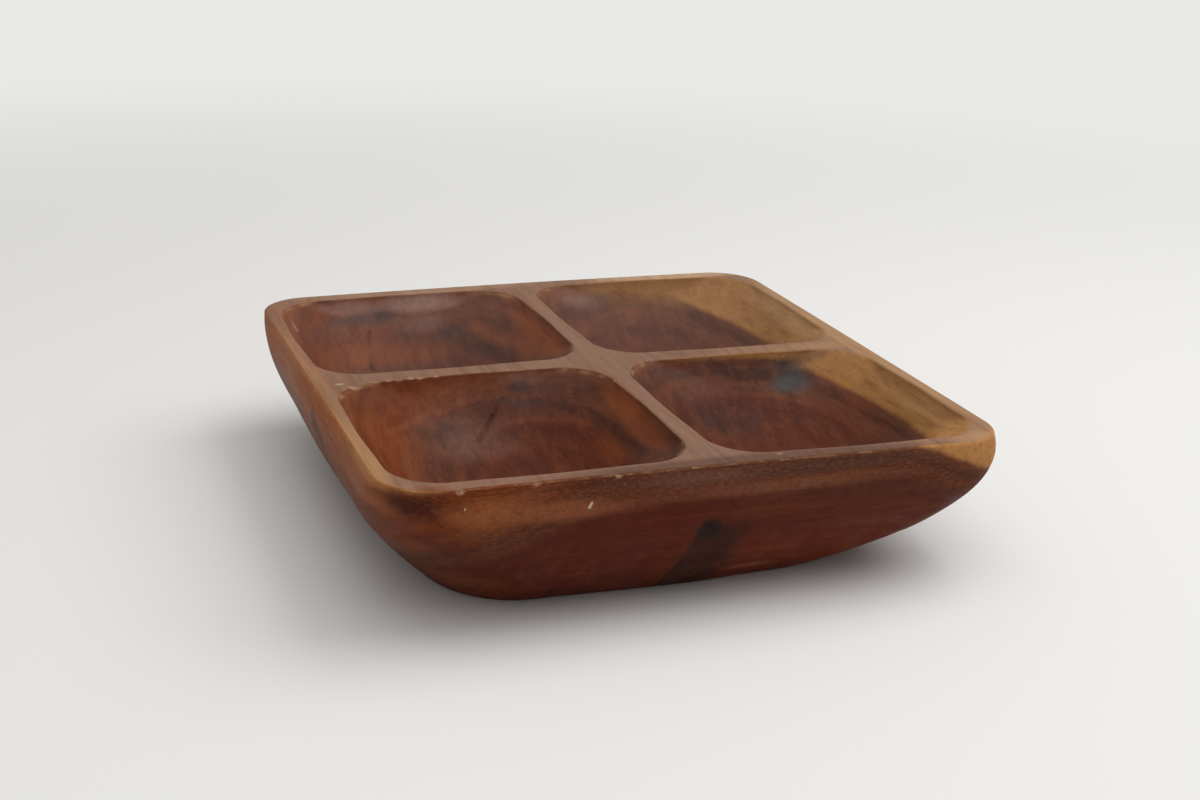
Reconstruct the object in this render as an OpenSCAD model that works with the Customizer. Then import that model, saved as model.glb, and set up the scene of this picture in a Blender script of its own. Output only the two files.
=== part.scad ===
// Divided serving bowl: one block of wood, hull-shaped outside, with four scooped compartments.
// The origin is on the surface that the bowl stands on, under its middle. X runs along the front, Y to the back.

/* [Bowl] */
// Side of the square rim
rim_side = 254; // [220:2:300]
// Height of the rim above the surface that the bowl stands on
bowl_h = 63; // [52:1:80]
// Radius of the four corners of the rim, seen from above
rim_corner_r = 21; // [12:1:36]

/* [Hull] */
// Side of the flat base, before its edge is rounded
base_side = 188; // [150:2:204]
// Radius of the corners at the base
base_corner_r = 35; // [16:1:50]
// Extra radius half way down on the two left corners, which are carved rounder
left_corner_extra = 27; // [0:1:32]
// How far each side bows outward at the base
base_bow = 2; // [0:0.5:4]
// How far the hull's upper curve is pulled outward
belly_out = 9.5; // [4:0.5:14]
// How far below the rim that pull is
belly_drop = 28; // [18:1:36]
// Slope of the lower flank above the table, in degrees
flank_angle = 40; // [30:1:60]
// How far the lower flank runs straight before it curves up
flank_pull = 4; // [2:1:12]
// Radius that eases the flank into the flat base
base_edge_r = 4; // [2:0.5:8]

/* [Walls] */
// Width of the rim at the left and right
side_rim_w = 5.5; // [4:0.1:10]
// Width of the rim at the front and back
end_rim_w = 7.3; // [5:0.1:12]
// Width of the divider that runs from front to back
long_divider_w = 7.2; // [5:0.1:12]
// Width of the divider that runs from left to right
cross_divider_w = 9.1; // [6:0.1:14]
// Radius that eases every edge of the rim and dividers
rim_edge_r = 1.2; // [0.6:0.1:2]

/* [Compartments] */
// Depth of each compartment below the rim
pocket_depth = 29; // [22:1:36]
// Radius of the corners of a compartment's mouth, seen from above
pocket_corner_r = 20; // [12:1:30]
// How far each side of that mouth bows outward
pocket_bow = 0.9; // [0:0.1:2]
// How far a compartment's wall leans in as it starts down
wall_lean = 3; // [1:0.5:8]
// How far down that start of the wall reaches
wall_drop = 11.5; // [6:0.5:18]
// Width of the flat in the middle of a compartment's floor
floor_flat_w = 20; // [10:1:40]
// How far the floor's curve runs level beyond that flat
floor_pull = 29; // [16:1:34]

/* [Hidden] */

// Steps along a side, round a corner, down a wall and round an eased edge
side_steps = 6;
corner_steps = 8;
wall_steps = 12;
edge_steps = 3;
// Corner radius at a compartment's floor, as a share of half its width there
floor_round_share = 0.96;
// How far every cut runs past the face that it opens
overrun = 2;

half_side = rim_side / 2;
half_base = base_side / 2;
edge_start_z = bowl_h - rim_edge_r;
pocket_floor_z = bowl_h - pocket_depth;

// A point on the cubic curve that leaves a towards b and reaches d from c.
function curve(a, b, c, d, t) =
    pow(1 - t, 3) * a + 3 * pow(1 - t, 2) * t * b + 3 * (1 - t) * t * t * c + t * t * t * d;

// One side of an outline from p to q, without its ends, bowed outward in the middle.
function bowed_side(p, q, bow) =
    let (along = (q - p) / norm(q - p), out = [along.y, -along.x])
    [for (i = [1 : side_steps - 1])
        let (t = i / side_steps) p + (q - p) * t + out * bow * pow(sin(180 * t), 2)];

// A quarter circle about c from angle a on, with both its ends.
function corner(c, r, a) =
    [for (i = [0 : corner_steps]) c + r * [cos(a + 90 * i / corner_steps), sin(a + 90 * i / corner_steps)]];

// A rounded rectangle between two corner points, counter-clockwise from its front side.
function outline(low, high, r_left, r_right, bow) =
    let (front_left = low + [r_left, r_left], front_right = [high.x - r_right, low.y + r_right],
         back_right = high - [r_right, r_right], back_left = [low.x + r_left, high.y - r_left])
    concat(
        bowed_side([front_left.x, low.y], [front_right.x, low.y], bow), corner(front_right, r_right, 270),
        bowed_side([high.x, front_right.y], [high.x, back_right.y], bow), corner(back_right, r_right, 0),
        bowed_side([back_right.x, high.y], [back_left.x, high.y], bow), corner(back_left, r_left, 90),
        bowed_side([low.x, back_left.y], [low.x, front_left.y], bow), corner(front_left, r_left, 180));

// An outline lifted to height z.
function lifted(points, z) = [for (p = points) [p.x, p.y, z]];

// The middle between two opposite points of a ring.
function middle(ring) = (ring[0] + ring[len(ring) / 2]) / 2;

// A closed solid through a stack of rings of the same length, from the lowest to the highest.
module loft(rings) {
    n = len(rings[0]);
    last = len(rings) - 1;
    low_middle = (last + 1) * n;
    top_middle = low_middle + 1;
    walls = [for (k = [0 : last - 1], i = [0 : n - 1])
        let (a = k * n + i, b = k * n + (i + 1) % n) each [[a, a + n, b], [b, a + n, b + n]]];
    low_cap = [for (i = [0 : n - 1]) [low_middle, i, (i + 1) % n]];
    top_cap = [for (i = [0 : n - 1]) [top_middle, last * n + (i + 1) % n, last * n + i]];
    points = concat([for (ring = rings) each ring], [middle(rings[0]), middle(rings[last])]);
    polyhedron(points, concat(walls, low_cap, top_cap), convexity = 6);
}

// The hull's profile as [half width, height]: the base's eased edge, the flank and belly, and the rim's edge.
flank_direction = [cos(flank_angle), sin(flank_angle)];
base_edge_middle = half_base - base_edge_r * tan(flank_angle / 2);
flank_start = [base_edge_middle + base_edge_r * sin(flank_angle), base_edge_r * (1 - cos(flank_angle))];
hull_profile = concat(
    [for (i = [0 : edge_steps - 1]) let (a = flank_angle * i / edge_steps)
        [base_edge_middle + base_edge_r * sin(a), base_edge_r * (1 - cos(a))]],
    [for (i = [0 : wall_steps])
        curve(flank_start, flank_start + flank_pull * flank_direction,
            [half_side + belly_out, bowl_h - belly_drop], [half_side, edge_start_z], i / wall_steps)],
    [for (i = [1 : edge_steps]) let (a = 90 * i / edge_steps)
        [half_side - rim_edge_r * (1 - cos(a)), edge_start_z + rim_edge_r * sin(a)]]);

// The hull's ring at one point of that profile. Its corners widen from the rim to the base.
function hull_ring(p) =
    let (half = [p[0], p[0]], down = 1 - p[1] / bowl_h,
         r = rim_corner_r * (1 - down) + base_corner_r * down,
         r_left = r + 4 * left_corner_extra * down * (1 - down))
    lifted(outline(-half, half, r_left, r, base_bow * down), p[1]);

// A compartment's profile as [inset, height]: its floor, its wall, the eased edge and the cut above the rim.
function pocket_profile(reach) = concat(
    [for (i = [0 : wall_steps])
        curve([reach, pocket_floor_z], [reach - floor_pull, pocket_floor_z],
            [wall_lean, bowl_h - wall_drop], [0, edge_start_z], i / wall_steps)],
    [for (i = [1 : edge_steps]) let (a = 90 * i / edge_steps)
        [-rim_edge_r * (1 - cos(a)), edge_start_z + rim_edge_r * sin(a)]],
    [[-rim_edge_r, bowl_h + overrun]]);

// A compartment between two corner points of its mouth. Its corners get rounder towards the floor.
module pocket(low, high) {
    half_mouth = min(high.x - low.x, high.y - low.y) / 2;
    mouth_share = pocket_corner_r / half_mouth;
    loft([for (p = pocket_profile(half_mouth - floor_flat_w / 2))
        let (inset = [p[0], p[0]], up = min(1, (p[1] - pocket_floor_z) / pocket_depth),
             r = (half_mouth - p[0]) * (floor_round_share + (mouth_share - floor_round_share) * up * up))
        lifted(outline(low + inset, high - inset, r, r, pocket_bow * up), p[1])]);
}

// The block with its four compartments, whose mouths leave the rim and the two crossed dividers.
module bowl_body() {
    eased = [rim_edge_r, rim_edge_r];
    inner = [long_divider_w, cross_divider_w] / 2 + eased;
    outer = [half_side - side_rim_w, half_side - end_rim_w] - eased;
    color("saddlebrown")
    difference() {
        loft([for (p = hull_profile) hull_ring(p)]);
        pocket(inner, outer);
        pocket([-outer.x, inner.y], [-inner.x, outer.y]);
        pocket([inner.x, -outer.y], [outer.x, -inner.y]);
        pocket(-outer, -inner);
    }
}

bowl_body();
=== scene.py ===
import math

import bmesh
import bpy
from mathutils import Matrix, Vector, noise


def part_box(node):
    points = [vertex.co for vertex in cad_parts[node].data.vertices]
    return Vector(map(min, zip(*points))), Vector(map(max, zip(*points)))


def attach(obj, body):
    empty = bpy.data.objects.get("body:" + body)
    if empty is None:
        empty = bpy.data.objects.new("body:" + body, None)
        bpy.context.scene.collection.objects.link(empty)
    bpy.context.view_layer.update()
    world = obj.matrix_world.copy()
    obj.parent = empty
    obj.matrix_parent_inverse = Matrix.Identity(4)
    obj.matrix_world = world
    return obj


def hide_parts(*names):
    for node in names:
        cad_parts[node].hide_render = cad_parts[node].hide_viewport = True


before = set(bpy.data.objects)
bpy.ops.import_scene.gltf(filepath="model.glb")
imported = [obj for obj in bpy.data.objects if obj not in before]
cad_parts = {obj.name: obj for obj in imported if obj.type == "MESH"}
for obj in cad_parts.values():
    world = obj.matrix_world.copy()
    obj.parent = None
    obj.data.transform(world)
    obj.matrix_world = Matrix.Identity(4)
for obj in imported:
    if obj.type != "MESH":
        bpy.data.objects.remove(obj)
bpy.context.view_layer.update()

# The bowl's box, and the unit of all sizes: a sixty-third of its height, which is a millimetre as built
BODY = "bowl_body"
LOWEST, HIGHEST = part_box(BODY)
BOWL_HEIGHT = HIGHEST.z - LOWEST.z
MM = BOWL_HEIGHT / 63

# Rim, dividers and hull. The belly keeps the carver's unevenness inside the bowl's box
RIM_HALF = 127 * MM
RIM_CORNER = 21 * MM
RIM_EDGE = 1.2 * MM
SIDE_RIM = 5.5 * MM
END_RIM = 7.3 * MM
LONG_DIVIDER = 7.2 * MM
CROSS_DIVIDER = 9.1 * MM
BASE_HALF = 94 * MM
BASE_CORNER = 35 * MM
LEFT_CORNER_EXTRA = 27 * MM
RIGHT_CORNER_EXTRA = 20 * MM
BASE_BOW = 2 * MM
BASE_EDGE = 4 * MM
BELLY_OUT = 8.85 * MM
BELLY_DROP = 28 * MM
FLANK_ANGLE = math.radians(40)
FLANK_PULL = 4 * MM

# Compartments
POCKET_DEPTH = 29 * MM
POCKET_CORNER = 20 * MM
POCKET_BOW = 0.9 * MM
WALL_LEAN = 3 * MM
WALL_DROP = 11.5 * MM
FLOOR_FLAT_HALF = 10 * MM
FLOOR_PULL = 29 * MM
FLOOR_ROUND_SHARE = 0.96

# How fine the carved surface is, and how the compartments are smoothed below the rim
SIDE_STEPS = 26
CORNER_STEPS = 20
WALL_STEPS = 36
EDGE_STEPS = 5
RIM_TOP_SHARES = (0.3, 0.6, 0.85)
FLOOR_SHARES = (0.66, 0.33)
BASE_SHARES = (0.97, 0.85, 0.6, 0.3)
MERGE = 0.01 * MM
SMOOTH_FROM = 6 * MM
SMOOTH_PASSES = 40
SMOOTH_SHARE = 0.5

# Drying cracks: both ends, in millimetres, then how the mesh is made finer there, and the groove's size
CRACKS = (
    ((-48, -10.5, 52.6), (-54, -16, 47)),
    ((-54, -16, 47), (-59, -20.5, 43)),
    ((-77, 108.5, 48), (-81, 84.6, 36.6)),
)
CRACK_MARGIN = 1.5
CRACK_CUTS = 3
CRACK_HALF = 0.9
CRACK_DEPTH = 0.4 * MM

# Unevenness left by the carver, in millimetres: longer from front to back, and less and only inward outside
WAVE_LENGTH = 26
WAVE_HEIGHT = 0.35
WAVE_ALONG_SHARE = 0.7
OUTSIDE_SHARE = 0.6
CALM_BELOW_RIM = 6

# The box that holds the compartments, in millimetres, and how far down a flat base's face looks
INSIDE_LIMIT = 122
BELOW_FLOORS = 20
BASE_FACING = -0.98

# Nicks in the rim: middle, reach and depth in millimetres
NICKS = (
    ((-116, -4.5, 63), 3.4, 0.9), ((-111, -8.5, 62.6), 3.2, 1.1), ((-106, -6.5, 63), 2.2, 0.6),
    ((-100, -5.5, 63), 2.6, 0.8), ((-95.5, -5, 63), 2, 0.6), ((-91, -5.2, 63), 2.4, 0.8),
    ((-86, -4.8, 63), 2, 0.5), ((-82, -4.8, 63), 2.4, 0.7), ((-75, -4.6, 63), 1.9, 0.5),
    ((-5, -27.4, 63), 2.2, 0.7), ((26, -121, 63), 2.2, 0.6), ((-100, -127, 62.6), 2.6, 0.7),
    ((-72, -127, 62.6), 2.2, 0.6), ((-41, -127, 62.6), 2, 0.5), ((122, -118, 62.5), 3, 0.6),
)

# How the rim has moved as the wood dried, as shares of half its side
TWIST = 0.0062
CROWN_ACROSS = 0.0061
CROWN_ALONG = 0.0016

# Where the rim's eased edges get their pale wear and painted highlight: how far down, at which slope, and
# how far that may differ
PALE_EDGE_DEPTH = 1.6 * RIM_EDGE
PALE_EDGE_SLOPE = 0.72
PALE_EDGE_SPREAD = 0.26

# What the mesh tells the finish about each vertex
BARE = "bare_rim"
PALE_EDGE_AND_HIGHLIGHT = "pale_edge_and_highlight"

# Where the camera stands: what it looks at, how far off, its turns, and its lens and film in millimetres
CAMERA_TARGET = Vector((-19.4 * MM, -50 * MM, BOWL_HEIGHT))
CAMERA_DISTANCE = 672.6 * MM
CAMERA_YAW = math.radians(-21.572)
CAMERA_PITCH = math.radians(19.266)
CAMERA_ROLL = math.radians(2.736)
CAMERA_LENS = 50
CAMERA_SENSOR = 36

# The nearest and farthest that the camera sees, in metres
CAMERA_NEAR = 0.01
CAMERA_FAR = 50

# The wood's rings, in millimetres: where they begin to fall to the left and right, and how steeply
LEFT_RINGS_FROM = 30
LEFT_RINGS_FALL = 0.0063
RIGHT_RINGS_FROM = 78
RIGHT_RINGS_EASE = 24
RIGHT_RINGS_FALL = 0.4
RINGS_ALONG = 0.035

# Where one kind of wood goes over into another, in millimetres
LEFT_SIDE = (-15, -55)
SAP_RING = 61
SAP_EDGE = 3
SAP_SIDE = (20, 60)
FRONT = (-84, -104)
FRONT_RED_RING = (47.2, 45.4)
FRONT_RED_SIDE = (30, -10)
END_GRAIN = (115, 124)
END_GRAIN_RING = (44, 50)
END_GRAIN_HEIGHT = (12, 32)
SIDE_GRAIN = (124, 114)
SCUFFED_SIDE = (-112, -122)
FAR_SIDE = (-60, 100)

# The black knot, and the dark wood under it, whose one sharp edge has a slant and a place
KNOT_PLACE = (-2.5, -126, 35.5)
KNOT_REACH = (7, 14, 7)
KNOT_RAGGED = (2.5, 6)
UNDER_EDGE = (-0.145, 13)
UNDER_SHARP = (-0.6, 0.9)
UNDER_RIGHT = (20, 6)
UNDER_TOP = (42, 34)
UNDER_FRONT = (-60, -90)

# How far the rings wander, in millimetres
DRIFT = 4
DRIFT_LONG = 2.5
DRIFT_SIZE = 55

# Noises drawn out along the grain: how often longer than wide, width in millimetres, detail and roughness
CLOUDS = (3, 40, 3, 0.5)
SAP_WAVES = (4, 9, 3, 0.5)
FIGURE = (5, 5, 5, 0.65)
STREAKS = (14, 3.2, 4, 0.6)
PORES = (40, 0.7, 3, 0.7)
GLOSS = (5, 12, 3, 0.5)

# Other noises: width in millimetres, detail and roughness, and for the curls how far they are bent
FINE_RINGS = (1.5, 3, 0.55)
BROAD_RINGS = (5, 3, 0.5)
LEVEL_STREAKS = (2.4, 4, 0.6)
CURL = (0.75, 3, 0.6, 1.2)
DUST = (0.8, 4, 0.7)
CHIPPED = (7, 3, 0.5)
SCUFFS = (1.1, 2, 0.5)
TORN = (1.6, 3, 0.5)

# How often longer than thick: the rings along the bowl and across it, level streaks and scuffs
RINGS_LONG = 30
RINGS_WIDE = 16
LEVEL_LONG = 20
SCUFF_LONG = 5

# How thick the curls in the end grain are, as a share of their length
CURL_SHARE = 0.3

# How soft the thinnest streak is, and the width in millimetres over which that grows by one
STREAK_SOFT = 0.5
STREAK_SOFTENS = 16

# A pale chip's reach from left to right, from front to back and up, as shares of its nick's
CHIP_SHARES = (1, 0.5, 0.75)

# Roughness and sheen of the oiled wood, and how much rougher it is where bare
OILED_SMOOTHEST = 0.48
OILED_ROUGHEST = 0.6
BARE_ROUGHER = 0.26
OIL_SHEEN = 0.1

# Relief of the wood: its strength and depth, and how much pores, dust and curls add to it
RELIEF_STRENGTH = 0.35
RELIEF_DEPTH = 0.12 * MM
PORE_RELIEF = 0.5
DUST_RELIEF = 0.25
CURL_RELIEF = 3.5

# The room: its light from all sides, and the pale colour that the camera sees beyond the floor
AMBIENT = 0.42
WHITE = (1, 1, 1, 1)
BACKGROUND = (0.82, 0.815, 0.8, 1)

# Square soft lamps that face the bowl: name, place and side in metres, and power in watts
LAMPS = (
    ("window", (0.9, -0.1, 1.3), 1.3, 12),
    ("sky", (-0.1, -0.4, 1.5), 1.6, 10),
)

# The floor, in metres: half its side, its gap under the bowl, its finish, and where the room's colour begins
FLOOR_HALF = 6
FLOOR_GAP = 0.05 * MM
FLOOR_COLOUR = (0.8, 0.79, 0.77, 1)
FLOOR_ROUGHNESS = 0.8
FLOOR_FADE = (0.3, 1.3)


# Curves and outlines

def curve(a, b, c, d, t):
    """A point on the cubic curve that leaves a towards b and reaches d from c."""
    s = 1 - t
    return s ** 3 * a + 3 * s * s * t * b + 3 * s * t * t * c + t ** 3 * d


def rim_edge_point(side, angle):
    """A point on the eased edge between the rim's top, at 90 degrees, and a side, at 0."""
    inward = RIM_EDGE * (1 - math.cos(angle))
    return Vector((side - inward, BOWL_HEIGHT - RIM_EDGE + RIM_EDGE * math.sin(angle)))


def base_edge_point(angle):
    """A point on the base's eased edge, where the hull slopes at that angle."""
    middle = BASE_HALF - BASE_EDGE * math.tan(FLANK_ANGLE / 2)
    return Vector((middle + BASE_EDGE * math.sin(angle), BASE_EDGE * (1 - math.cos(angle))))


def hull_profile():
    """The hull's half width and height, from the rim's eased edge down to the flat base."""
    flank = base_edge_point(FLANK_ANGLE)
    pull = FLANK_PULL * Vector((math.cos(FLANK_ANGLE), math.sin(FLANK_ANGLE)))
    belly = Vector((RIM_HALF + BELLY_OUT, BOWL_HEIGHT - BELLY_DROP))
    profile = []
    for step in range(EDGE_STEPS):
        angle = math.pi / 2 * (1 - step / EDGE_STEPS)
        profile.append(rim_edge_point(RIM_HALF, angle))
    for step in range(WALL_STEPS + 1):
        t = 1 - step / WALL_STEPS
        profile.append(curve(flank, flank + pull, belly, rim_edge_point(RIM_HALF, 0), t))
    for step in range(1, EDGE_STEPS + 1):
        angle = FLANK_ANGLE * (1 - step / EDGE_STEPS)
        profile.append(base_edge_point(angle))
    return profile


def pocket_profile(half_mouth):
    """A compartment's inset and height, from the rim over its eased edge and the wall to the floor."""
    floor_z = BOWL_HEIGHT - POCKET_DEPTH
    reach = half_mouth - FLOOR_FLAT_HALF
    profile = []
    for step in range(EDGE_STEPS):
        angle = math.pi / 2 * (1 - step / EDGE_STEPS)
        profile.append(rim_edge_point(0, angle))
    for step in range(WALL_STEPS + 1):
        t = 1 - step / WALL_STEPS
        profile.append(curve(Vector((reach, floor_z)), Vector((reach - FLOOR_PULL, floor_z)),
                             Vector((WALL_LEAN, BOWL_HEIGHT - WALL_DROP)), rim_edge_point(0, 0), t))
    return profile


def rounded_rectangle(low, high, radius, bow):
    """Points round a rounded rectangle, from the middle of its front side, each side bowed outward."""
    centre = (low + high) / 2
    half = (high - low) / 2
    points = []
    for quarter in range(4):
        turn = Matrix.Rotation(math.radians(90 * quarter - 90), 2)
        before, after = (half.x, half.y) if quarter % 2 == 0 else (half.y, half.x)
        corner = centre + turn @ Vector((after - radius, before - radius))
        for step in range(SIDE_STEPS):
            t = step / SIDE_STEPS
            outward = radius + bow * math.cos(math.pi / 2 * t) ** 2
            points.append(corner + turn @ Vector((outward, (t - 1) * (before - radius))))
        for step in range(CORNER_STEPS):
            angle = math.pi / 2 * step / CORNER_STEPS
            points.append(corner + turn @ (radius * Vector((math.cos(angle), math.sin(angle)))))
        for step in range(SIDE_STEPS):
            t = step / SIDE_STEPS
            outward = radius + bow * math.sin(math.pi / 2 * t) ** 2
            points.append(corner + turn @ Vector((-t * (after - radius), outward)))
    return points


def quarter_outline(mouth):
    """The outline of the front right quarter of the rim, each point beside its point of the mouth."""
    limit = RIM_HALF - RIM_EDGE
    per_corner = 2 * SIDE_STEPS + CORNER_STEPS
    sharp = (None, Vector((limit, 0)), Vector((0, 0)), Vector((0, -limit)))
    points = []
    for index, point in enumerate(mouth):
        quarter, step = divmod(index, per_corner)
        share = (step - SIDE_STEPS) / CORNER_STEPS
        turn = Matrix.Rotation(math.radians(90 * quarter - 90), 2)
        if 0 <= share < 1 and quarter == 0:
            angle = math.pi / 2 * share
            corner = Vector((limit - RIM_CORNER, RIM_CORNER - limit))
            points.append(corner + turn @ (RIM_CORNER * Vector((math.cos(angle), math.sin(angle)))))
        elif 0 <= share < 1:
            first = mouth[quarter * per_corner + SIDE_STEPS]
            last = mouth[quarter * per_corner + SIDE_STEPS + CORNER_STEPS]
            near = snap_to_side(first, turn @ Vector((1, 0)), limit)
            far = snap_to_side(last, turn @ Vector((0, 1)), limit)
            tip = sharp[quarter]
            points.append(near.lerp(tip, 2 * share) if share < 0.5 else tip.lerp(far, 2 * share - 1))
        else:
            side = turn @ Vector((1, 0)) if share < 0 else turn @ Vector((0, 1))
            points.append(snap_to_side(point, side, limit))
    return points


def snap_to_side(point, side, limit):
    """A point moved straight on to the side of the front right quarter that faces along side."""
    if abs(side.x) > 0.5:
        return Vector((limit if side.x > 0 else 0, point.y))
    return Vector((point.x, 0 if side.y > 0 else -limit))


# The carved block

def start_ring(bm, points, z):
    """A closed ring of vertices at height z."""
    bmesh.ops.create_circle(bm, segments=len(points), radius=RIM_HALF)
    bm.verts.ensure_lookup_table()
    ring = [bm.verts[index] for index in range(len(points))]
    for vert, point in zip(ring, points):
        vert.co = (point.x, point.y, z)
    return ring


def extend_ring(bm, ring, points, z):
    """Extrudes a closed ring to new places at height z and gives the new ring."""
    pairs = zip(ring, ring[1:] + ring[:1])
    edges = [bm.edges.get(pair) for pair in pairs]
    made = bmesh.ops.extrude_edge_only(bm, edges=edges)["geom"]
    new = {item for item in made if isinstance(item, bmesh.types.BMVert)}
    following = []
    for vert, point in zip(ring, points):
        twin = next(edge.other_vert(vert) for edge in vert.link_edges if edge.other_vert(vert) in new)
        twin.co = (point.x, point.y, z)
        following.append(twin)
    return following


def close_ring(bm, ring):
    """Closes a ring with a fan of faces."""
    face = bmesh.ops.contextual_create(bm, geom=ring)["faces"]
    bmesh.ops.poke(bm, faces=face)


def carve_quarter(bm, bare):
    """The front right quarter: its part of the rim and dividers, and its compartment."""
    inner = Vector((LONG_DIVIDER / 2, CROSS_DIVIDER / 2)) + Vector((RIM_EDGE, RIM_EDGE))
    outer = Vector((RIM_HALF - SIDE_RIM, RIM_HALF - END_RIM)) - Vector((RIM_EDGE, RIM_EDGE))
    low = Vector((inner.x, -outer.y))
    high = Vector((outer.x, -inner.y))
    half_mouth = min(high.x - low.x, high.y - low.y) / 2
    mouth_share = POCKET_CORNER / half_mouth
    rings = []
    for inset, z in pocket_profile(half_mouth):
        up = (z - (BOWL_HEIGHT - POCKET_DEPTH)) / POCKET_DEPTH
        radius = (half_mouth - inset) * (FLOOR_ROUND_SHARE + (mouth_share - FLOOR_ROUND_SHARE) * up * up)
        shift = Vector((inset, inset))
        rings.append((rounded_rectangle(low + shift, high - shift, radius, POCKET_BOW * up), z))
    mouth = rings[0][0]
    outside = quarter_outline(mouth)
    ring = start_ring(bm, outside, BOWL_HEIGHT)
    bare_from = BOWL_HEIGHT - RIM_EDGE * (1 - math.cos(math.pi / 4))
    flat = list(ring)
    for share in RIM_TOP_SHARES:
        ring = extend_ring(bm, ring, [a.lerp(b, share) for a, b in zip(outside, mouth)], BOWL_HEIGHT)
        flat += ring
    for points, z in rings:
        ring = extend_ring(bm, ring, points, z)
        if z > bare_from:
            flat += ring
    middle = (low + high) / 2
    for share in FLOOR_SHARES:
        ring = extend_ring(bm, ring, [middle.lerp(point, share) for point in rings[-1][0]], z)
    close_ring(bm, ring)
    carved = [vert for vert in bm.verts if vert.co.z < BOWL_HEIGHT - SMOOTH_FROM]
    for _ in range(SMOOTH_PASSES):
        bmesh.ops.smooth_vert(bm, verts=carved, factor=SMOOTH_SHARE,
                              use_axis_x=True, use_axis_y=True, use_axis_z=True)
    for vert in flat:
        vert[bare] = 1


def carve_hull(bm, bare):
    """The outside of the block, from the rim's outer edge down to the flat base."""
    limit = RIM_HALF - RIM_EDGE
    start = limit - RIM_CORNER
    loose = [edge for edge in bm.edges if edge.is_boundary]
    around = {vert for edge in loose for vert in edge.verts}
    ring = sorted(around, key=lambda vert: math.atan2(vert.co.y, vert.co.x))
    flat_ring = [vert.co.copy() for vert in ring]
    profile = hull_profile()
    for half, z in profile[1:]:
        ring = extend_ring(bm, ring, [hull_place(co, start, half, z) for co in flat_ring], z)
        for vert in ring:
            vert[bare] = 0
    last = [Vector((vert.co.x, vert.co.y)) for vert in ring]
    for share in BASE_SHARES:
        ring = extend_ring(bm, ring, [point * share for point in last], 0)
    close_ring(bm, ring)


def hull_place(rim_point, start, half, z):
    """Where a point of the rim's outer edge comes to lie further down the hull.

    The left corners are roundest half way down, and the right ones at the base.
    """
    down = 1 - z / BOWL_HEIGHT
    radius = RIM_CORNER * (1 - down) + BASE_CORNER * down
    if rim_point.x < 0:
        radius += 4 * LEFT_CORNER_EXTRA * down * (1 - down)
    else:
        radius += RIGHT_CORNER_EXTRA * down ** 3
    x, y = abs(rim_point.x), abs(rim_point.y)
    straight = half - radius
    if x > start and y > start:
        angle = math.atan2(y - start, x - start)
        place = Vector((straight + radius * math.cos(angle), straight + radius * math.sin(angle)))
    elif y <= start:
        share = y / start
        place = Vector((half + BASE_BOW * down * math.cos(math.pi / 2 * share) ** 2, share * straight))
    else:
        share = x / start
        place = Vector((share * straight, half + BASE_BOW * down * math.cos(math.pi / 2 * share) ** 2))
    return Vector((math.copysign(place.x, rim_point.x), math.copysign(place.y, rim_point.y)))


def distance_to_crack(point, crack):
    """How far a point is from the line between a crack's ends."""
    start, end = (Vector(place) for place in crack)
    along = end - start
    share = min(1, max(0, (point - start).dot(along) / along.length_squared))
    return (point - start - share * along).length


def near_crack(bm, crack, margin):
    """The vertices within a margin of a crack."""
    start, end = (Vector(place) for place in crack)
    middle = (start + end) / 2
    reach = (end - start).length / 2 + margin
    around = [vert for vert in bm.verts if (vert.co / MM - middle).length < reach]
    return [vert for vert in around if distance_to_crack(vert.co / MM, crack) < margin]


def open_cracks(bm):
    """The drying cracks, as fine grooves. Faces left with many sides there are split into triangles."""
    for crack in CRACKS:
        verts = near_crack(bm, crack, CRACK_MARGIN)
        near = {edge for vert in verts for edge in vert.link_edges}
        bmesh.ops.subdivide_edges(bm, edges=list(near), cuts=CRACK_CUTS, use_grid_fill=True)
    bmesh.ops.triangulate(bm, faces=[face for face in bm.faces if len(face.verts) > 4])
    bm.normal_update()
    for crack in CRACKS:
        for vert in near_crack(bm, crack, CRACK_HALF):
            away = distance_to_crack(vert.co / MM, crack) / CRACK_HALF
            vert.co -= vert.normal * CRACK_DEPTH * (1 - away)


def wear(bm):
    """Small unevenness of the hand-carved faces, and the nicks and chips along the rim."""
    bm.normal_update()
    rim = BOWL_HEIGHT / MM
    moves = []
    for vert in bm.verts:
        x, y, z = vert.co / MM
        inside = max(abs(x), abs(y)) < INSIDE_LIMIT and z > BELOW_FLOORS
        level = noise.noise(Vector((x, y * WAVE_ALONG_SHARE, z)) / WAVE_LENGTH)
        push = WAVE_HEIGHT * (level if inside else max(0, level) * OUTSIDE_SHARE)
        push *= min(1, (rim - z) / CALM_BELOW_RIM)
        if vert.normal.z < BASE_FACING:
            push = 0
        for centre, reach, depth in NICKS:
            away = (Vector((x, y, z)) - Vector(centre)).length / reach
            if away < 1:
                push += depth * (1 - away * away) ** 2
        moves.append(-vert.normal * push * MM)
    for vert, move in zip(bm.verts, moves):
        vert.co += move


def mark_edges(bm, pale_edge_layer):
    """Tells the finish where the rim's eased edges slope at one angle, where they get pale wear and a
    painted highlight.
    """
    bm.normal_update()
    for vert in bm.verts:
        near_top = vert.co.z > BOWL_HEIGHT - PALE_EDGE_DEPTH
        differs = abs(vert.normal.z - PALE_EDGE_SLOPE) / PALE_EDGE_SPREAD
        vert[pale_edge_layer] = max(0, 1 - differs) if near_top else 0


def warp_rim(bm):
    """The dried block has twisted a little and sunk most at its front right and back left corners."""
    for vert in bm.verts:
        x = vert.co.x / RIM_HALF
        y = vert.co.y / RIM_HALF
        up = vert.co.z / BOWL_HEIGHT
        vert.co.z += RIM_HALF * (TWIST * x * y - CROWN_ACROSS * x * x - CROWN_ALONG * y * y) * up * up


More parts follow.
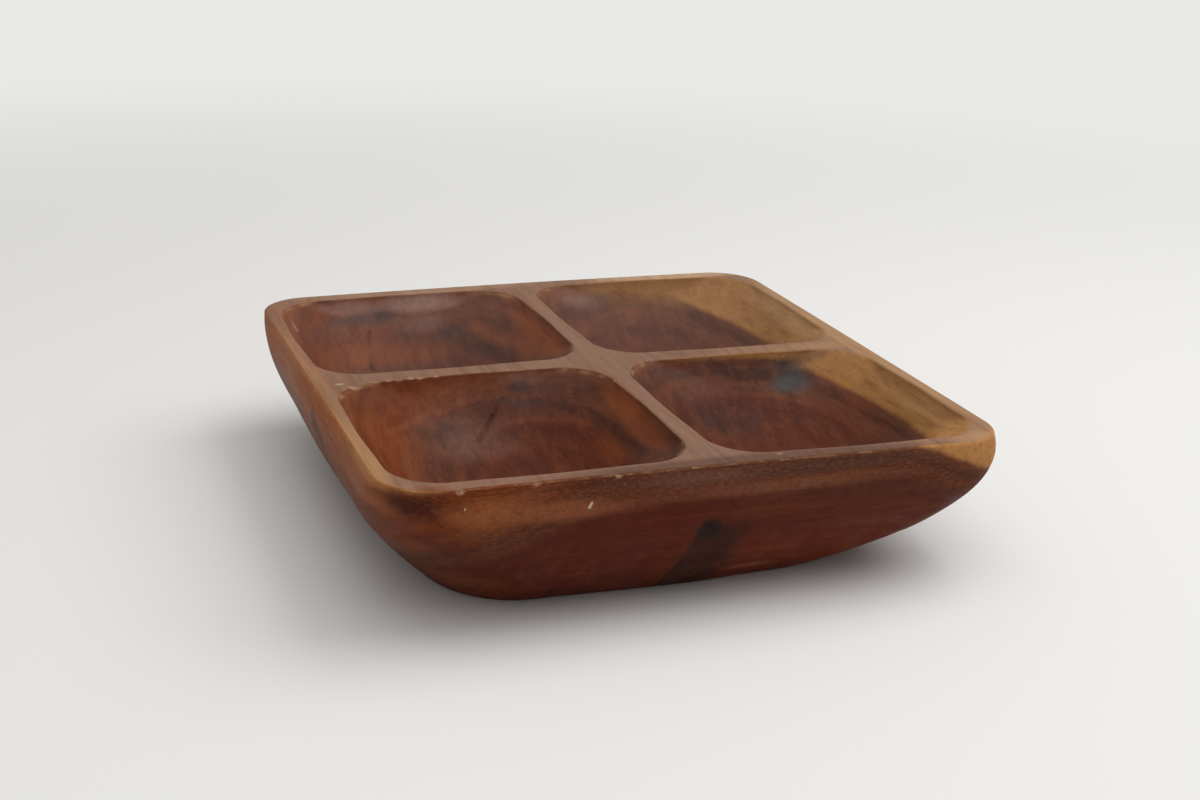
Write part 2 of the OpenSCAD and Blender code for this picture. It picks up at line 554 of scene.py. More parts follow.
def carve_bowl():
    """The whole bowl as one closed mesh."""
    bm = bmesh.new()
    bare = bm.verts.layers.float.new(BARE)
    pale_edge_layer = bm.verts.layers.float.new(PALE_EDGE_AND_HIGHLIGHT)
    carve_quarter(bm, bare)
    for axis in "YX":
        bmesh.ops.mirror(bm, geom=bm.verts[:] + bm.edges[:] + bm.faces[:], axis=axis, merge_dist=MERGE)
    bmesh.ops.remove_doubles(bm, verts=bm.verts[:], dist=MERGE)
    carve_hull(bm, bare)
    bmesh.ops.recalc_face_normals(bm, faces=bm.faces[:])
    open_cracks(bm)
    mark_edges(bm, pale_edge_layer)
    wear(bm)
    warp_rim(bm)
    for face in bm.faces:
        face.smooth = True
    mesh = bpy.data.meshes.new("carved_bowl")
    bm.to_mesh(mesh)
    bm.free()
    bowl = bpy.data.objects.new("carved_bowl", mesh)
    bpy.context.scene.collection.objects.link(bowl)
    return bowl


# Finishes

def paint(red, green, blue):
    """A colour as seen, from 0 to 255, as the shader's own numbers."""
    shares = [value / 255 for value in (red, green, blue)]
    return tuple(share / 12.92 if share <= 0.04045 else ((share + 0.055) / 1.055) ** 2.4
                 for share in shares) + (1,)


class Finish:
    """One procedural material, made node by node."""

    def __init__(self, name):
        self.material = bpy.data.materials.new(name)
        self.material.use_nodes = True
        self.tree = self.material.node_tree
        self.surface = self.tree.nodes["Principled BSDF"]

    def feed(self, socket, value):
        """Joins a socket to another, or sets it to a plain value."""
        if isinstance(value, bpy.types.NodeSocket):
            self.tree.links.new(value, socket)
        elif value is not None:
            socket.default_value = value

    def add(self, kind, *inputs, out=0, **settings):
        """A new node with its inputs in order. Gives one of its outputs."""
        node = self.tree.nodes.new(kind)
        for name, value in settings.items():
            setattr(node, name, value)
        for socket, value in zip(node.inputs, inputs):
            self.feed(socket, value)
        return node.outputs[out]

    def work(self, operation, a, b=None, c=None):
        """One sum on numbers."""
        return self.add("ShaderNodeMath", a, b, c, operation=operation)

    def times(self, first, *others):
        """Numbers multiplied together."""
        for other in others:
            first = self.work("MULTIPLY", first, other)
        return first

    def vector(self, operation, a, b=None, scale=None, out=0):
        """One sum on vectors."""
        return self.add("ShaderNodeVectorMath", a, b, None, scale, operation=operation, out=out)

    def ease(self, value, start, end, low=0.0, high=1.0):
        """A soft step: low where value is at start, high where it is at end."""
        return self.add("ShaderNodeMapRange", value, start, end, low, high,
                        interpolation_type="SMOOTHSTEP")

    def mix(self, share, below, above, how="MIX"):
        """One colour laid over another."""
        node = self.tree.nodes.new("ShaderNodeMix")
        node.data_type = "RGBA"
        node.blend_type = how
        for index, value in ((0, share), (6, below), (7, above)):
            self.feed(node.inputs[index], value)
        return node.outputs[2]

    def noise(self, where, size, detail, roughness, distortion=0.0, out=0):
        """Even noise, whose lumps are about size millimetres across."""
        return self.add("ShaderNodeTexNoise", where, None, 1 / size, detail, roughness, None, None,
                        distortion, out=out)

    def stretch(self, where, along):
        """Positions drawn out along the grain, which runs from front to back."""
        return self.vector("MULTIPLY", where, (1, 1 / along, 1))

    def grain(self, where, along, size, detail, roughness):
        """Noise drawn out along the grain."""
        return self.noise(self.stretch(where, along), size, detail, roughness)

    def wander(self, where, size, reach):
        """A shift that changes from place to place, up to about half of reach to each side."""
        shift = self.noise(where, size, 3, 0.5, out=1)
        return self.vector("SCALE", self.vector("SUBTRACT", shift, (0.5, 0.5, 0.5)), scale=reach)

    def ramp(self, value, stops):
        """Colours along a scale of numbers; stops are (number, colour)."""
        low, high = stops[0][0], stops[-1][0]
        share = self.add("ShaderNodeMapRange", value, low, high)
        node = self.tree.nodes.new("ShaderNodeValToRGB")
        self.feed(node.inputs[0], share)
        elements = node.color_ramp.elements
        while len(elements) < len(stops):
            elements.new(0.5)
        for element, (number, colour) in zip(elements, stops):
            element.position = (number - low) / (high - low)
            element.color = colour
        return node.outputs[0]

    def seam(self, where, start, end, width, soft):
        """1 along the straight line from start to end, fading to 0 at its width, in millimetres."""
        start, along = Vector(start), Vector(end) - Vector(start)
        offset = self.vector("SUBTRACT", where, start[:])
        share = self.vector("DOT_PRODUCT", offset, (along / along.length_squared)[:], out=1)
        share = self.add("ShaderNodeClamp", share, 0.0, 1.0)
        foot = self.vector("SCALE", along[:], scale=share)
        return self.ease(self.vector("DISTANCE", offset, foot, out=1), width, width * (1 - soft))

    def patch(self, where, centre, reach, soft):
        """1 inside a ball or egg about centre, fading to 0 at its reach, all in millimetres."""
        offset = self.vector("SUBTRACT", where, centre)
        share = self.vector("DIVIDE", offset, reach)
        return self.ease(self.vector("LENGTH", share, out=1), 1.0, 1 - soft)


# The rings' colours as seen, from the bowl's base up, in the middle and right, and at the left
HEART_RINGS = (
    (0, paint(113, 45, 14)), (14, paint(105, 40, 11)), (24, paint(92, 32, 8)), (31, paint(86, 31, 9)),
    (38, paint(89, 36, 13)), (42, paint(84, 37, 18)), (45.5, paint(82, 38, 21)), (48, paint(92, 48, 30)),
    (50.5, paint(98, 54, 36)), (53, paint(92, 51, 34)), (55.5, paint(80, 44, 30)),
    (58.5, paint(92, 53, 37)), (62, paint(108, 60, 38)), (70, paint(126, 74, 44)))
LEFT_RINGS = (
    (0, paint(110, 46, 18)), (20, paint(100, 40, 15)), (34, paint(90, 37, 16)), (43, paint(80, 36, 17)),
    (46, paint(92, 47, 26)), (50, paint(86, 44, 27)), (57, paint(92, 49, 30)), (63, paint(112, 59, 33)),
    (68, paint(116, 61, 33)), (77, paint(112, 49, 13)), (88, paint(107, 48, 13)), (98, paint(106, 51, 19)),
    (107, paint(122, 66, 32)), (116, paint(150, 80, 28)), (125, paint(156, 90, 36)))

# Colours of streaks, sapwood, the bare rim and single marks, and of painted sheen, highlights and light
DEEP_RED = paint(66, 28, 17)
WARM_ORANGE = paint(128, 66, 32)
STREAK_SHADE = paint(186, 158, 140)
PORE_SHADE = paint(160, 130, 110)
FIGURE_SHADE = paint(176, 146, 128)
SAP_GOLD = paint(150, 105, 58)
SAP_PALE = paint(167, 122, 73)
SAP_PAINTED_LIGHT = paint(200, 156, 108)
RIM_TAN = paint(148, 116, 96)
RIM_DUSTY = paint(134, 103, 86)
RIM_DARK = paint(104, 78, 66)
RIM_RUSTY = paint(118, 72, 50)
RIM_GOLD = paint(166, 128, 90)
RIM_SAP = paint(165, 131, 99)
RIM_PALE = paint(190, 158, 126)
BLACK_KNOT = paint(34, 18, 14)
BLUE_BLACK = paint(54, 48, 46)
BLUE_GREY = paint(80, 66, 62)
GREY_SHEEN = paint(98, 70, 60)
POCKET_FLOOR_SHEEN = paint(96, 62, 48)
DEEP_BROWN = paint(60, 32, 22)
UNDER_KNOT = paint(50, 19, 10)
BURNT = paint(66, 17, 3)
FRONT_RED = paint(83, 27, 7)
DARK_BAND = paint(76, 49, 40)
SAP_FRONT = paint(184, 130, 76)
GOLDEN_EDGE = paint(160, 108, 62)
GLOW = paint(150, 86, 50)
DUSTY_BROWN = paint(116, 80, 68)
FRONT_GOLD = paint(136, 78, 50)
LIGHT_STREAK = paint(140, 84, 52)
PALE_SHEEN = paint(157, 123, 110)
ORANGE_WALL = paint(150, 80, 42)
CHALK = paint(214, 192, 172)
DUSTY_END_AND_GLINT = paint(138, 90, 66)
FAR_SHEEN = paint(150, 132, 124)
STEEL_STAIN_SHEEN = paint(74, 78, 78)

# Single marks, painted sheen and painted light: middle and reach in millimetres, softness, strength and
# colour
MARKS_AND_PAINTED_LIGHT = (
    ((87, -12, 52), (14, 11, 7), 0.9, 0.95, BLUE_BLACK),
    ((87, -8, 57.5), (15, 5, 4), 0.9, 0.8, BLUE_BLACK),
    # A grey-blue stain with a painted cool reflection on it
    ((85, -15, 49.5), (15, 9, 5.5), 0.9, 0.7, STEEL_STAIN_SHEEN),
    # Painted light: the sapwood made paler along the top of the front right compartment's right wall, where
    # it lies in shade
    ((120, -68, 58), (9, 50, 9), 0.8, 0.6, SAP_PAINTED_LIGHT),
    ((40, -33, 42), (24, 14, 10), 0.9, 0.5, DARK_BAND),
    ((66, -8, 55), (16, 7, 6), 0.9, 0.35, DEEP_BROWN),
    # Painted sheen: small grey spots high on the front right compartment's right wall
    ((119.5, -49, 58.5), (4, 3, 2.5), 0.9, 0.5, GREY_SHEEN),
    ((120, -77, 60), (5, 3, 2.5), 0.9, 0.4, GREY_SHEEN),
    ((-39, -8, 56), (7, 5, 4.5), 0.9, 0.62, BLUE_BLACK),
    # Painted sheen on the front left compartment's back wall
    ((-72, -20, 44), (34, 12, 8), 0.8, 0.5, GREY_SHEEN),
    ((-76, 114, 53), (22, 8, 6), 0.9, 0.75, BLUE_GREY),
    ((-91, 111.5, 52.5), (9, 7, 4.5), 0.9, 0.5, BLUE_BLACK),
    ((-67.5, 115.5, 55), (12, 6, 5), 0.9, 0.6, BLUE_BLACK),
    ((-38, 104, 46.5), (11, 9, 5), 0.9, 0.6, BLUE_BLACK),
    # Painted sheen: pale patches on the back left compartment's back wall, where it reflects the bright room
    ((-51, 111, 50), (18, 9, 8), 0.9, 0.28, PALE_SHEEN),
    ((-14, 113.5, 60), (10, 8, 5), 0.9, 0.5, DEEP_BROWN),
    # Painted sheen on the back left compartment's back wall
    ((-92, 107, 50), (16, 13, 9), 0.9, 0.35, GREY_SHEEN),
    ((-50, 118, 58), (30, 7, 7), 0.8, 0.85, PALE_SHEEN),
    # Painted sheen: paler, greyer floors in the four compartments, where the floors reflect the pale room
    ((-60, -56, 38), (56, 46, 12), 0.9, 0.4, POCKET_FLOOR_SHEEN),
    ((-60, 68, 40), (56, 46, 13), 0.9, 0.5, POCKET_FLOOR_SHEEN),
    ((60, -56, 38), (56, 46, 12), 0.9, 0.4, POCKET_FLOOR_SHEEN),
    ((60, 68, 40), (56, 46, 12), 0.9, 0.5, POCKET_FLOOR_SHEEN),
    ((-72, 94, 41), (42, 17, 7), 0.9, 0.7, WARM_ORANGE),
    ((-106, -44, 52), (14, 46, 12), 0.9, 0.3, ORANGE_WALL),
    ((-85, -23, 44), (13, 10, 7), 0.9, 0.35, DEEP_BROWN),
    ((-42, -47, 36), (24, 16, 7), 0.9, 0.35, DEEP_RED),
    # Painted sheen on the front left compartment's floor
    ((-66, -30, 39), (28, 15, 8), 0.95, 0.2, PALE_SHEEN),
    ((-17, -62, 45), (8, 28, 8), 0.9, 0.35, ORANGE_WALL),
    ((-6, -44, 59), (8, 34, 7), 0.9, 0.75, ORANGE_WALL),
    ((-13, 66, 49), (8, 24, 8), 0.9, 0.4, ORANGE_WALL),
    # Painted sheen high on the front left compartment's back wall
    ((-38, -6, 60), (15, 4, 5), 0.9, 0.25, PALE_SHEEN),
    ((-103, 98, 49), (13, 15, 9), 0.9, 0.35, DARK_BAND),
    # Painted sheen high on the back left compartment's back wall
    ((-84, 117, 58), (22, 6, 6), 0.9, 0.6, PALE_SHEEN),
    ((50, -29, 39), (28, 15, 12), 0.9, 0.7, DEEP_BROWN),
    ((27, -20, 50), (13, 9, 9), 0.9, 0.3, DEEP_BROWN),
    ((106, -38, 46), (10, 14, 6), 0.9, 0.3, WARM_ORANGE),
    # Painted sheen high on the front right compartment's back wall
    ((100, -6, 60), (18, 5, 5), 0.8, 0.4, GREY_SHEEN),
    ((-6, 60, 55), (9, 60, 10), 0.7, 0.8, ORANGE_WALL),
    ((-7, -62, 56), (7, 48, 8), 0.7, 0.5, ORANGE_WALL),
    ((84, 120, 58), (64, 18, 19), 0.95, 0.8, SAP_GOLD),
    # Painted sheen on the back right compartment's back wall
    ((26, 117, 53), (30, 12, 10), 0.9, 0.4, PALE_SHEEN),
    # Painted light: the sapwood made paler along the tops of the right walls, where they lie in shade
    ((119, -62, 59), (6, 62, 7), 0.7, 0.7, SAP_PALE),
    ((120, 58, 59), (8, 66, 8), 0.8, 0.9, SAP_PAINTED_LIGHT),
    ((-115, -121, 55.5), (26, 20, 9), 0.8, 0.95, BURNT),
    ((-122, -100, 52), (9, 22, 9), 0.9, 0.6, GLOW),
    ((-92, -127, 53), (26, 8, 9), 0.9, 0.85, GLOW),
    ((-126, -96, 63), (7, 46, 5), 0.7, 0.9, GOLDEN_EDGE),
    ((-114, -122, 65), (22, 8, 5), 0.7, 0.9, GOLDEN_EDGE),
    ((25, -107, 9.5), (17, 9, 2.6), 0.8, 0.7, LIGHT_STREAK),
    ((42, -128, 58.5), (66, 7, 3.6), 0.8, 0.6, DARK_BAND),
    ((-8, -128, 58.8), (36, 6, 4), 0.9, 0.45, DUSTY_BROWN),
    ((30, -128, 52.5), (70, 7, 4), 0.9, 0.35, DUSTY_END_AND_GLINT),
    ((-64, -128, 51.5), (34, 7, 6), 0.7, 0.85, FRONT_GOLD),
    ((-52, -128, 61), (28, 5, 3.5), 0.9, 0.6, DEEP_BROWN),
    ((-102, -114, 36), (22, 14, 14), 0.9, 0.7, FRONT_RED),
    ((-115, -113, 45), (10, 10, 6), 0.9, 0.35, WARM_ORANGE),
    ((-36, -128, 50.5), (18, 7, 4), 0.9, 0.25, FRONT_GOLD),
    # Painted light: lighter low on the front left corner, in place of light bounced from the floor
    ((-92, -92, 11), (34, 30, 13), 0.9, 0.55, WARM_ORANGE),
)

# Cracks and thin streaks, and one line of painted sheen: both ends and width in millimetres, strength and
# colour
SEAMS_AND_SHEEN = (
    ((-48, -10.5, 52.6), (-54, -16, 47), 1.8, 0.5, BURNT),
    ((-54, -16, 47), (-62.5, -25.7, 40), 2, 0.4, BURNT),
    ((-77, 108.5, 48), (-81, 84.6, 36.6), 1.8, 0.8, DEEP_BROWN),
    # Painted sheen: a pale line down the back left compartment's left corner
    ((-115.4, 110, 62), (-113.6, 96, 54.8), 1.2, 0.6, PALE_SHEEN),
    ((98, 115.8, 58.3), (95, 108, 51.2), 1.6, 0.4, SAP_PALE),
    ((-52.4, -128.5, 51.8), (-51.6, -128.5, 53.6), 0.7, 0.8, CHALK),
    ((-98.6, -127.8, 55.8), (-98.4, -127.8, 56.3), 0.6, 0.6, CHALK),
    ((-105, -31, 47.5), (-86, -17, 49), 2.4, 0.2, LIGHT_STREAK),
    ((-86, -17, 49), (-66, -10.5, 52), 2.4, 0.24, LIGHT_STREAK),
    ((-66, -10.5, 52), (-46, -9, 54.5), 2.4, 0.2, LIGHT_STREAK),
    ((-50, -11.5, 51), (-34, -15, 51), 2.6, 0.4, BLUE_BLACK),
    ((-34, -15, 51), (-24.5, -20.5, 51), 3, 0.55, DEEP_BROWN),
    ((-24.5, -20.5, 51), (-17, -31, 50), 3.5, 0.55, DEEP_BROWN),
    ((-17, -31, 50), (-12.5, -49, 49.5), 4.5, 0.6, DEEP_BROWN),
    ((-12.5, -49, 49.5), (-11.5, -84, 51), 4, 0.5, DEEP_BROWN),
    ((-38, 103, 46), (-26, 84.5, 42.5), 9, 0.5, DEEP_BROWN),
    ((-26, 84.5, 42.5), (-18.5, 67, 43.5), 8, 0.5, DEEP_BROWN),
    ((-26, 101, 49), (-18.5, 83, 46), 6, 0.25, ORANGE_WALL),
    ((-128.6, -12.5, 52), (-128.2, -27.5, 46.5), 6, 0.75, DEEP_BROWN),
    ((50, -6.5, 58.7), (63, -9, 54), 4, 0.7, DEEP_BROWN),
    ((63, -9, 54), (76, -10.5, 53), 4, 0.7, DEEP_BROWN),
)

# The bare rim's tones, and a painted sheen along the back rim: middle and reach in millimetres, softness,
# strength and colour
RIM_PLACES = (
    ((14, -126, 62), (104, 9, 6), 0.5, 0.85, RIM_DARK),
    ((-110, -125, 62), (10, 8, 5), 0.8, 0.9, RIM_RUSTY),
    ((-126, -84, 62), (10, 56, 6), 0.6, 0.9, RIM_GOLD),
    ((-126, 20, 62), (9, 90, 6), 0.7, 0.5, RIM_GOLD),
    ((125, 0, 62), (11, 142, 6), 0.5, 0.95, RIM_SAP),
    ((118, -122, 62), (24, 9, 6), 0.7, 0.95, RIM_SAP),
    ((112, -2, 62), (42, 8, 6), 0.8, 0.7, RIM_SAP),
    ((42, 0, 62), (26, 9, 6), 0.8, 0.4, RIM_DARK),
    # Painted sheen: the back rim made paler where it reflects the bright room
    ((84, 124, 62), (60, 9, 6), 0.6, 0.95, RIM_PALE),
    ((-50, 124, 62), (86, 9, 6), 0.6, 0.35, RIM_PALE),
)


class Wood(Finish):
    """The wood as it is built up: where each point lies in the block, its ring, and its colour so far.

    moved is the place after the whole drift that makes the rings wander, and near is after half of it.
    """

    def __init__(self, name):
        super().__init__(name)
        place = self.add("ShaderNodeTexCoord", out=3)
        self.where = self.vector("SCALE", place, scale=1 / MM)
        drift = self.wander(self.stretch(self.where, DRIFT_LONG), DRIFT_SIZE, DRIFT)
        self.moved = self.vector("ADD", self.where, drift)
        self.near = self.vector("ADD", self.where, self.vector("SCALE", drift, scale=0.5))
        self.x, self.y, self.z = self.split(self.moved)
        self.x_near, self.y_near, self.z_near = self.split(self.near)
        self.ring = self.ring_level()
        self.front = self.ease(self.y_near, *FRONT)
        self.streaks = self.grain(self.moved, *STREAKS)
        self.pores = self.grain(self.where, *PORES)
        self.dust = self.noise(self.where, *DUST)
        self.colour = None

    def split(self, where):
        """The three coordinates of a position."""
        node = self.tree.nodes.new("ShaderNodeSeparateXYZ")
        self.feed(node.inputs[0], where)
        return node.outputs[:]

    def ring_level(self):
        """The ring that each point lies in, as a height at the bowl's middle, in millimetres."""
        left = self.work("MAXIMUM", self.work("MULTIPLY_ADD", self.x, -1, -LEFT_RINGS_FROM), 0)
        left = self.times(left, left, LEFT_RINGS_FALL)
        right = self.work("SUBTRACT", self.x, RIGHT_RINGS_FROM)
        right = self.times(self.work("SMOOTH_MAX", right, 0, RIGHT_RINGS_EASE), RIGHT_RINGS_FALL)
        ring = self.work("ADD", self.work("ADD", self.z, left), right)
        return self.work("MULTIPLY_ADD", self.y, RINGS_ALONG, ring)

    def lay(self, share, shade, how="MIX"):
        """Lays one more colour over the wood."""
        self.colour = self.mix(share, self.colour, shade, how=how)


def lay_heartwood(wood):
    """Heartwood in rings, another set of them at the left, with fine and broad ring lines."""
    heart = wood.ramp(wood.ring, HEART_RINGS)
    outer = wood.ramp(wood.ring, LEFT_RINGS)
    wood.colour = wood.mix(wood.ease(wood.x, *LEFT_SIDE), heart, outer)
    rings = wood.add("ShaderNodeCombineXYZ", wood.ring, wood.times(wood.y, 1 / RINGS_LONG),
                     wood.times(wood.x, 1 / RINGS_WIDE))
    fine = wood.noise(rings, *FINE_RINGS)
    broad = wood.noise(rings, *BROAD_RINGS)
    wood.lay(wood.ease(broad, 0.52, 0.75, 0, 0.32), DEEP_RED)
    wood.lay(wood.ease(broad, 0.46, 0.25, 0, 0.3), WARM_ORANGE)
    wood.lay(wood.ease(fine, 0.42, 0.7, 0, 0.3), STREAK_SHADE, how="MULTIPLY")


def lay_front(wood):
    """The front's two zones, lighter above and dark red below one ring, with thin level streaks."""
    below = wood.times(wood.ease(wood.ring, *FRONT_RED_RING), wood.ease(wood.x_near, *FRONT_RED_SIDE))
    wood.lay(wood.times(below, wood.front, 0.7), FRONT_RED)
    level = wood.add("ShaderNodeCombineXYZ", wood.times(wood.x_near, 1 / LEVEL_LONG), 0.0, wood.z_near)
    streaks = wood.noise(level, *LEVEL_STREAKS)
    wood.lay(wood.times(wood.ease(streaks, 0.5, 0.7, 0, 0.2), wood.front), WARM_ORANGE)
    wood.lay(wood.times(wood.ease(streaks, 0.48, 0.3, 0, 0.4), wood.front), DEEP_RED)


def lay_sapwood(wood):
    """Golden sapwood on the right, outside the last dark ring."""
    level = wood.work("MULTIPLY_ADD", wood.grain(wood.where, *SAP_WAVES), SAP_EDGE, wood.ring)
    sap = wood.times(wood.ease(level, SAP_RING, SAP_RING + SAP_EDGE), wood.ease(wood.x, *SAP_SIDE))
    clouds = wood.grain(wood.moved, *CLOUDS)
    shade = wood.mix(wood.ease(clouds, 0.35, 0.65), SAP_GOLD, SAP_PALE)
    shade = wood.mix(wood.times(wood.front, 0.85), shade, SAP_FRONT)
    wood.lay(sap, shade)


def lay_marks(wood):
    """The dark and light places, streaks and crack lines of this block, and the painted sheen and light
    among them. Narrow streaks are crisper.
    """
    for centre, reach, soft, strength, shade in MARKS_AND_PAINTED_LIGHT:
        wood.lay(wood.times(wood.patch(wood.near, centre, reach, soft), strength), shade)
    for start, end, width, strength, shade in SEAMS_AND_SHEEN:
        soft = min(1, STREAK_SOFT + width / STREAK_SOFTENS)
        wood.lay(wood.times(wood.seam(wood.near, start, end, width, soft), strength), shade)


def lay_knot(wood):
    """The black knot low on the front, with the dark wood under it and its one sharp edge."""
    past_edge = wood.work("ADD", wood.x, wood.work("MULTIPLY_ADD", wood.z, *UNDER_EDGE))
    under = wood.times(wood.ease(past_edge, *UNDER_SHARP), wood.ease(wood.x, *UNDER_RIGHT),
                       wood.ease(wood.z, *UNDER_TOP), wood.ease(wood.y, *UNDER_FRONT))
    wood.lay(wood.times(under, 0.8), UNDER_KNOT)
    ragged = wood.vector("ADD", wood.where, wood.wander(wood.where, *KNOT_RAGGED))
    wood.lay(wood.times(wood.patch(ragged, KNOT_PLACE, KNOT_REACH, 0.5), 0.95), BLACK_KNOT)


def lay_figure(wood):
    """Figure, streaks and pores, all drawn out along the grain."""
    figure = wood.grain(wood.moved, *FIGURE)
    side_grain = wood.ease(wood.work("ABSOLUTE", wood.y_near), *SIDE_GRAIN, 0.2, 1)
    wood.lay(wood.times(wood.ease(figure, 0.5, 0.66, 0, 0.32), side_grain), FIGURE_SHADE, how="MULTIPLY")
    wood.lay(wood.times(wood.ease(figure, 0.5, 0.34, 0, 0.14), side_grain), GLOW)
    wood.lay(wood.ease(wood.streaks, 0.45, 0.72, 0, 0.3), STREAK_SHADE, how="MULTIPLY")
    wood.lay(wood.ease(wood.pores, 0.5, 0.75, 0, 0.5), PORE_SHADE, how="MULTIPLY")


def lay_end_grain(wood):
    """Curly end grain high on the front and back: pale dusty curls with painted glints, and dark curls of
    painted shade from their relief. Gives where it is and how it curls.
    """
    high = wood.times(wood.ease(wood.ring, *END_GRAIN_RING), wood.ease(wood.z_near, *END_GRAIN_HEIGHT))
    end_grain = wood.times(wood.ease(wood.work("ABSOLUTE", wood.y_near), *END_GRAIN), high)
    level = wood.add("ShaderNodeCombineXYZ", wood.times(wood.x_near, CURL_SHARE), 0.0, wood.z_near)
    curly = wood.noise(level, *CURL)
    # Pale curls: dusty end grain with painted glints of its relief; dark curls: painted shade of that relief
    wood.lay(wood.times(end_grain, wood.ease(curly, 0.48, 0.66, 0.02, 0.27)), DUSTY_END_AND_GLINT)
    wood.lay(wood.times(end_grain, wood.ease(curly, 0.5, 0.34, 0, 0.2)), DEEP_BROWN)
    return end_grain, curly


def lay_rim(wood):
    """Bare sanded tops of the rim and dividers, with a painted sheen along the back rim. Gives how bare each
    point is.
    """
    bare = wood.add("ShaderNodeAttribute", attribute_name=BARE, out=2)
    sanded = wood.mix(wood.ease(wood.dust, 0.3, 0.7), RIM_TAN, RIM_DUSTY)
    for centre, reach, soft, strength, shade in RIM_PLACES:
        sanded = wood.mix(wood.times(wood.patch(wood.near, centre, reach, soft), strength), sanded, shade)
    sanded = wood.mix(0.2, sanded, wood.colour)
    sanded = wood.mix(wood.ease(wood.streaks, 0.4, 0.7, 0, 0.3), sanded, STREAK_SHADE, how="MULTIPLY")
    worn = wood.ease(wood.work("MULTIPLY_ADD", wood.dust, 0.3, bare), 0.35, 0.95)
    wood.lay(worn, sanded)
    return worn


def lay_wear(wood):
    """Pale eased edges, partly wear and partly a painted highlight, scuffs along the front edge, and the
    torn wood of the chips.
    """
    pale_edge = wood.add("ShaderNodeAttribute", attribute_name=PALE_EDGE_AND_HIGHLIGHT, out=2)
    chipped = wood.noise(wood.where, *CHIPPED)
    # Pale eased edges: partly wear, partly a painted highlight where the edges catch the light
    wood.lay(wood.times(pale_edge, wood.ease(chipped, 0.46, 0.66, 0.1, 0.6)), RIM_GOLD)
    scuffs = wood.noise(wood.vector("MULTIPLY", wood.where, (1 / SCUFF_LONG, 1, 1)), *SCUFFS)
    scuffs = wood.times(wood.ease(scuffs, 0.54, 0.66, 0, 0.6), wood.ease(wood.y_near, *SCUFFED_SIDE))
    wood.lay(wood.times(scuffs, wood.ease(chipped, 0.42, 0.58), pale_edge), RIM_PALE)
    torn = wood.ease(wood.noise(wood.where, *TORN), 0.36, 0.5, 0.3, 0.95)
    for centre, reach, _ in NICKS:
        chip = wood.patch(wood.where, centre, [reach * share for share in CHIP_SHARES], 0.8)
        wood.lay(wood.times(chip, torn), RIM_PALE)


def wood_finish():
    """Oiled dark hardwood: heartwood rings, golden sapwood on the right, and bare sanded rim tops."""
    wood = Wood("carved_wood")
    lay_heartwood(wood)
    lay_front(wood)
    lay_sapwood(wood)
    lay_marks(wood)
    lay_knot(wood)
    lay_figure(wood)
    end_grain, curly = lay_end_grain(wood)
    # A thin painted sheen of pale grey, stronger towards the back
    wood.lay(wood.ease(wood.y_near, *FAR_SIDE, 0, 0.1), FAR_SHEEN)
    worn = lay_rim(wood)
    lay_wear(wood)
    wood.feed(wood.surface.inputs["Base Color"], wood.colour)

    # Oiled wood is smoother than bare or end-grain wood, and never shiny
    rough = wood.ease(wood.grain(wood.where, *GLOSS), 0.3, 0.7, OILED_SMOOTHEST, OILED_ROUGHEST)
    rough = wood.work("ADD", rough, wood.times(wood.work("MAXIMUM", worn, end_grain), BARE_ROUGHER))
    wood.feed(wood.surface.inputs["Roughness"], rough)
    wood.surface.inputs["Specular IOR Level"].default_value = OIL_SHEEN

    # Fine relief of pores, dust and curly end grain
    height = wood.work("ADD", wood.times(wood.pores, PORE_RELIEF), wood.times(wood.dust, DUST_RELIEF))
    height = wood.work("ADD", height, wood.times(curly, end_grain, CURL_RELIEF))
    relief = wood.add("ShaderNodeBump", RELIEF_STRENGTH, RELIEF_DEPTH, None, height)
    wood.feed(wood.surface.inputs["Normal"], relief)
    return wood.material


# Camera, lamps and floor

def place_camera():
    """The camera at the photograph's place, with its small roll."""
    data = bpy.data.cameras.new("camera")
    data.lens = CAMERA_LENS
    data.sensor_width = CAMERA_SENSOR
    data.clip_start = CAMERA_NEAR
    data.clip_end = CAMERA_FAR
    back = Vector((math.sin(CAMERA_YAW) * math.cos(CAMERA_PITCH),
                   -math.cos(CAMERA_YAW) * math.cos(CAMERA_PITCH), math.sin(CAMERA_PITCH)))
    level = Vector((math.cos(CAMERA_YAW), math.sin(CAMERA_YAW), 0))
    upright = back.cross(level)
    right = math.cos(CAMERA_ROLL) * level + math.sin(CAMERA_ROLL) * upright
    up = math.cos(CAMERA_ROLL) * upright - math.sin(CAMERA_ROLL) * level
    turn = Matrix((right, up, back)).transposed().to_4x4()
    camera = bpy.data.objects.new("camera", data)
    camera.matrix_world = Matrix.Translation(CAMERA_TARGET + back * CAMERA_DISTANCE) @ turn
    bpy.context.scene.collection.objects.link(camera)
    bpy.context.scene.camera = camera


def add_lamp(name, place, size, power):
    """A square soft lamp that faces the bowl."""
    data = bpy.data.lights.new(name, "AREA")
    data.size = size
    data.energy = power
    lamp = bpy.data.objects.new(name, data)
    aim = (-Vector(place)).to_track_quat("-Z", "Y")
    lamp.matrix_world = Matrix.Translation(place) @ aim.to_matrix().to_4x4()
    bpy.context.scene.collection.objects.link(lamp)


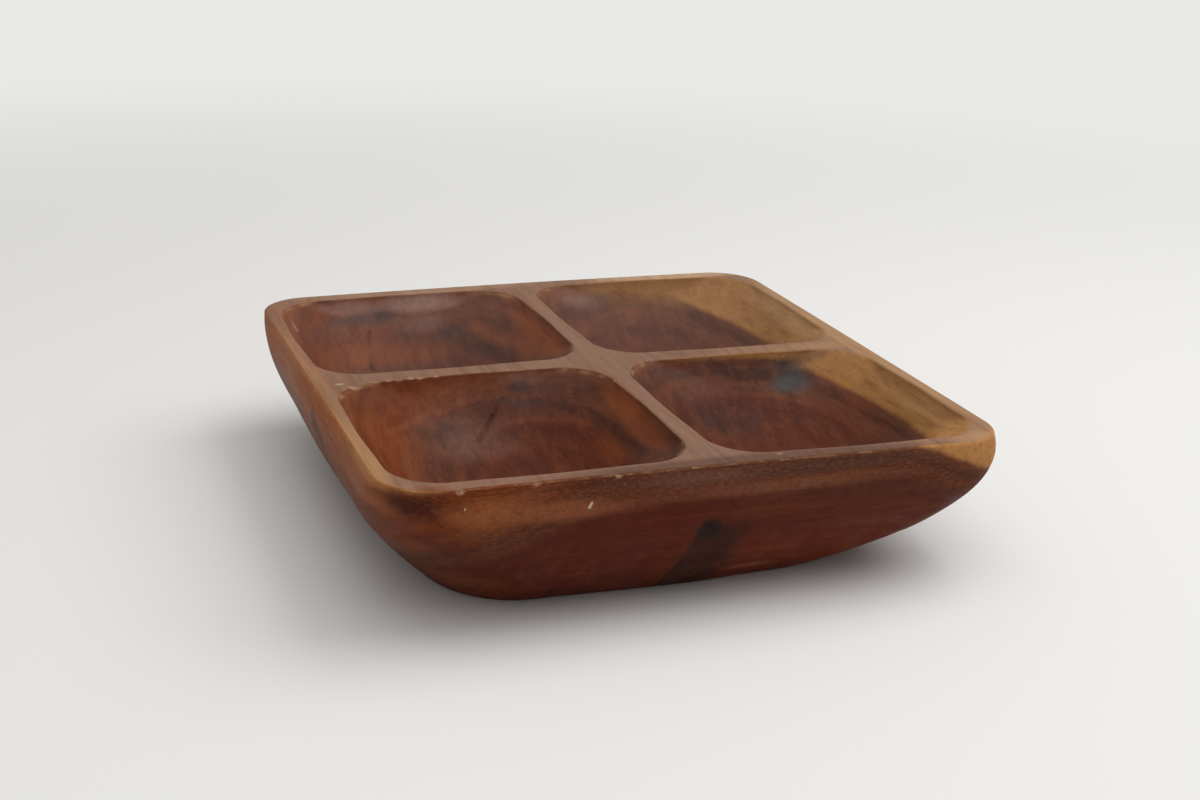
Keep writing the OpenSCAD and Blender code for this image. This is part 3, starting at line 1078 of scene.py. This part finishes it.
def light_studio():
    """Soft light from above and from the right, and a pale room around."""
    world = bpy.data.worlds.new("room")
    bpy.context.scene.world = world
    world.use_nodes = True
    nodes = world.node_tree.nodes
    nodes.clear()
    path = nodes.new("ShaderNodeLightPath")
    ambient = nodes.new("ShaderNodeBackground")
    ambient.inputs["Color"].default_value = WHITE
    ambient.inputs["Strength"].default_value = AMBIENT
    shown = nodes.new("ShaderNodeBackground")
    shown.inputs["Color"].default_value = BACKGROUND
    mix = nodes.new("ShaderNodeMixShader")
    out = nodes.new("ShaderNodeOutputWorld")
    links = world.node_tree.links
    links.new(path.outputs["Is Camera Ray"], mix.inputs[0])
    links.new(ambient.outputs[0], mix.inputs[1])
    links.new(shown.outputs[0], mix.inputs[2])
    links.new(mix.outputs[0], out.inputs["Surface"])
    for name, place, size, power in LAMPS:
        add_lamp(name, place, size, power)


def lay_floor():
    """A plain pale floor that keeps the bowl's shadow and, to the camera, ends in the room's colour."""
    bm = bmesh.new()
    bmesh.ops.create_grid(bm, x_segments=1, y_segments=1, size=FLOOR_HALF)
    bmesh.ops.translate(bm, verts=bm.verts[:], vec=(0, 0, -FLOOR_GAP))
    mesh = bpy.data.meshes.new("floor")
    bm.to_mesh(mesh)
    bm.free()
    floor = bpy.data.objects.new("floor", mesh)
    bpy.context.scene.collection.objects.link(floor)
    pale = Finish("pale_floor")
    pale.surface.inputs["Base Color"].default_value = FLOOR_COLOUR
    pale.surface.inputs["Roughness"].default_value = FLOOR_ROUGHNESS
    distance = pale.vector("LENGTH", pale.add("ShaderNodeTexCoord", out=3), out=1)
    camera_ray = pale.add("ShaderNodeLightPath")
    seen = pale.times(camera_ray, pale.ease(distance, *FLOOR_FADE))
    room = pale.add("ShaderNodeEmission", BACKGROUND, 1.0)
    both = pale.add("ShaderNodeMixShader", seen, pale.surface.outputs[0], room)
    pale.feed(pale.tree.nodes["Material Output"].inputs["Surface"], both)
    mesh.materials.append(pale.material)


bowl = carve_bowl()
bowl.data.materials.append(wood_finish())
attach(bowl, "root")
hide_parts(BODY)
place_camera()
light_studio()
lay_floor()
bpy.context.scene.view_settings.view_transform = "Standard"
